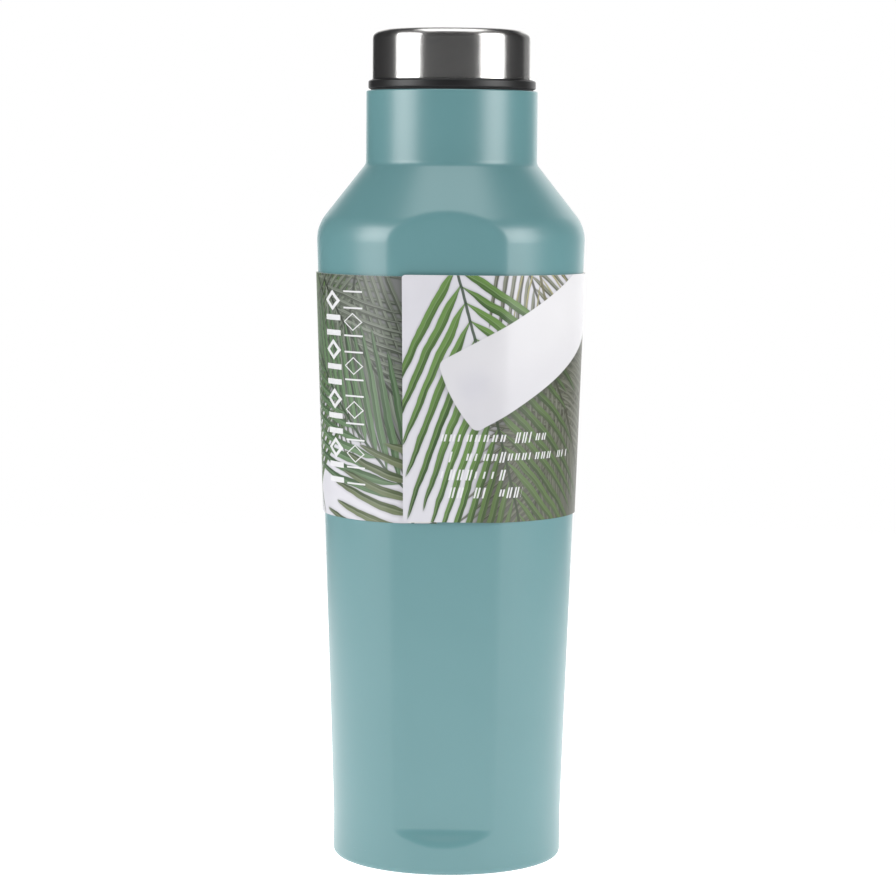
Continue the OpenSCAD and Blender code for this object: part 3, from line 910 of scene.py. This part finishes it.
# %% [markdown]
# ## Marks in place of captions
# No lettering is drawn. Short leaning strokes stand where small captions would be, and hollow diamonds and
# bars fill two upright columns. A mark's number, the floor of its place along the row, feeds the random
# numbers that choose its height and its second stroke, so a row looks uneven without a table of signs.

# %% Printed marks
ROWS = ((23.2, 33), (18.0, 44), (13.1, 19.4), (8.2, 24))  # height and length of each row of small marks
ROW_U, ROW_PITCH, SLOPE = 10.4, 2.35, 0.25  # start, cell and lean of a row
STROKE_HALF = 0.24
COLUMNS = ((24.9, 8.0, 6.8, 1.5), (15.6, 7.4, 6.05, 0.45))  # distance from the end, width, pitch, stroke
COLUMN_LOW, COLUMN_HIGH = 9.2, 63.4


def mark_row(u, v, height, length):
    """Thin leaning strokes in a row, in place of a caption: one or two to a cell, some of them tall."""
    x = u - ROW_U - (v - height) * SLOPE
    cell = x / ROW_PITCH
    number = cell.floor()
    luck, other = (number + height).chance(), (number * 1.7 + height).chance()
    across = (cell - number - 0.5) * ROW_PITCH
    left = (STROKE_HALF - abs(across + 0.5)).step(-0.06, 0.06)
    right = (STROKE_HALF - abs(across - 0.4)).step(-0.06, 0.06) * other.above(0.35)
    tall = (0.95 + luck.above(0.7) * 0.5 - abs(v - height)).step(-0.1, 0.1)
    return left.most(right) * tall * luck.above(0.14) * x.above(0) * (length - x).above(0)


def mark_column(u, v, inset, width, pitch, stroke):
    """Hollow diamonds and pairs of bars, by turns. A diamond is where |x| + |y| of its cell is 1."""
    cell = (v - COLUMN_LOW) / pitch
    number = cell.floor()
    tall, wide = (pitch - 1.1) / 2, width / 2
    y, x = (cell - number - 0.5) * pitch, u - (STRIP_END - inset)
    line = stroke / (tall + wide)
    diamond = (line - abs(abs(x) / wide + abs(y) / tall - (1 - line))).step(-0.03, 0.03)
    bars = (stroke / 2 - abs(abs(y) - (tall - stroke / 2))).step(-0.06, 0.06)
    bars = bars * (wide - abs(x)).step(-0.06, 0.06)
    pick = (number * 0.5 - (number * 0.5).floor()).above(0.25)
    shape = diamond * pick + bars * (1 - pick)
    return shape * v.above(COLUMN_LOW) * (COLUMN_HIGH - v).above(0)


# %% Print on the card


def palm_print():
    """The palm ground, the plain bottle on it, and pale marks where captions would stand."""
    material, tree, shader = new_material("palm_print", IOR=1.5)
    (u, v, _), place = coordinates(tree, "UV")
    ground = printed_bottle(tree, palm_ground(tree, u, v, place), u, v)
    marks = [mark_row(u, v, *row) for row in ROWS] + [mark_column(u, v, *column) for column in COLUMNS]
    ink = marks[0]
    for mark in marks[1:]:
        ink = ink.most(mark)
    colour = mix(tree, ink * 0.93, ground, inked(242, 242, 244))
    paint(tree, shader, colour, 0.42 + noise(tree, place, 0.8) * 0.06)
    bump(tree, shader, noise(tree, place, 3.0), 0.00002, 0.3)
    return material


PRINT = palm_print()
sleeve = grid_mesh("printed_sleeve", card_grid, [PRINT, CARD], card_uv, closed_rows=True,
                   closed_columns=False, kinds=card_kinds)
finish_piece(sleeve, "bottle", "printed_card", "sleeve_card")

# %% [markdown]
# ## Floor and light
# The bottle stands on a pale table in a white room. Two soft boxes beside the camera give the two bright
# strips on the cap and neck, and a third above lights the shoulder. A wide panel behind and a weak fill
# beside it brighten the edges. The table glows a little near the bottle and fades out with distance, so
# that it meets the white room without a line.

# %% Floor, room and soft boxes
FLOOR_R = 0.9


def pale_floor():
    """A matt table with a glow that weakens with distance, clear towards its rim."""
    material = bpy.data.materials.new("pale_table")
    material.use_nodes = True
    tree = material.node_tree
    tree.nodes.clear()
    (x, y, _), place = coordinates(tree)
    diffuse = tree.nodes.new("ShaderNodeBsdfDiffuse")
    diffuse.inputs["Color"].default_value = (0.86, 0.86, 0.87, 1)
    clear = tree.nodes.new("ShaderNodeBsdfTransparent")
    blend = tree.nodes.new("ShaderNodeMixShader")
    out = tree.nodes.new("ShaderNodeOutputMaterial")
    away = (x * x + y * y).root()
    glow = tree.nodes.new("ShaderNodeEmission")
    plug(tree, [glow.inputs["Strength"]], [1.0 - away.step(0.2, 0.6) * 0.6])
    lit = tree.nodes.new("ShaderNodeAddShader")
    plug(tree, lit.inputs, (diffuse.outputs[0], glow.outputs[0]))
    plug(tree, blend.inputs, (away.step(0.4, FLOOR_R - 0.05), lit.outputs[0], clear.outputs[0]))
    tree.links.new(blend.outputs[0], out.inputs["Surface"])
    return material


disc_rows = np.array([[FLOOR_R / MM, 0], [0, 0]])
floor = lathe("table", disc_rows, pale_floor(), closed=False, columns=64)


def white_room():
    """Seen directly the room is white; as a light source it is a dim grey."""
    world = bpy.data.worlds.new("white_room")
    world.use_nodes = True
    tree = world.node_tree
    background = tree.nodes["Background"]
    seen = Wire(tree, tree.nodes.new("ShaderNodeLightPath").outputs["Is Camera Ray"])
    plug(tree, background.inputs, (mix(tree, seen, (0.055, 0.055, 0.057), (1, 1, 1)), 1.0))
    bpy.context.scene.world = world


def soft_box(name, azimuth, distance, height, size, power, aim=0.11):
    """An area light; azimuth is in degrees from the camera's side of the bottle, growing to its right."""
    data = bpy.data.lights.new(name, "AREA")
    data.shape, data.size, data.size_y, data.energy = "RECTANGLE", *size, power
    lamp = bpy.data.objects.new(name, data)
    a = math.radians(azimuth)
    lamp.location = (distance * math.sin(a), -distance * math.cos(a), height)
    towards = Vector((0, 0, aim)) - lamp.location
    lamp.rotation_euler = towards.to_track_quat("-Z", "Y").to_euler()
    bpy.context.scene.collection.objects.link(lamp)


white_room()
soft_box("left_box", -64, 0.70, 0.35, (0.45, 0.46), 6.2, 0.2)
soft_box("right_box", 61, 0.70, 0.35, (0.42, 0.46), 5.8, 0.2)
soft_box("top_box", 0, 0.05, 0.95, (0.7, 0.5), 4.4)
soft_box("back_panel", 176, 0.90, 0.35, (1.08, 0.9), 5.0, 0.15)
soft_box("right_fill", 141, 1.0, 0.4, (0.6, 0.8), 0.55, 0.15)

# %% [markdown]
# ## Camera
# A long lens looks at the bottle from the front and slightly from above. It is aimed at a point on the
# axis and rolled by less than half a degree.

# %% Camera
LENS, DISTANCE, EYE_Z, AIM_X = 122.5, 0.860, 0.193, -0.0004
YAW, PITCH_DOWN, ROLL = math.radians(1.8), math.radians(5.13), math.radians(0.43)
camera = bpy.data.objects.new("camera", bpy.data.cameras.new("camera"))
camera.data.lens = LENS
eye = Vector((DISTANCE * math.sin(YAW), -DISTANCE * math.cos(YAW), EYE_Z))
target = Vector((AIM_X, 0, EYE_Z - DISTANCE * math.tan(PITCH_DOWN)))
facing = (target - eye).to_track_quat("-Z", "Y").to_matrix().to_4x4()
camera.matrix_world = Matrix.Translation(eye) @ facing @ Matrix.Rotation(ROLL, 4, "Z")
bpy.context.scene.collection.objects.link(camera)
bpy.context.scene.camera = camera
bpy.context.scene.view_settings.view_transform = "Standard"
print("camera at", [round(x, 3) for x in eye], "metres")

# %% Scene update
bpy.context.view_layer.update()
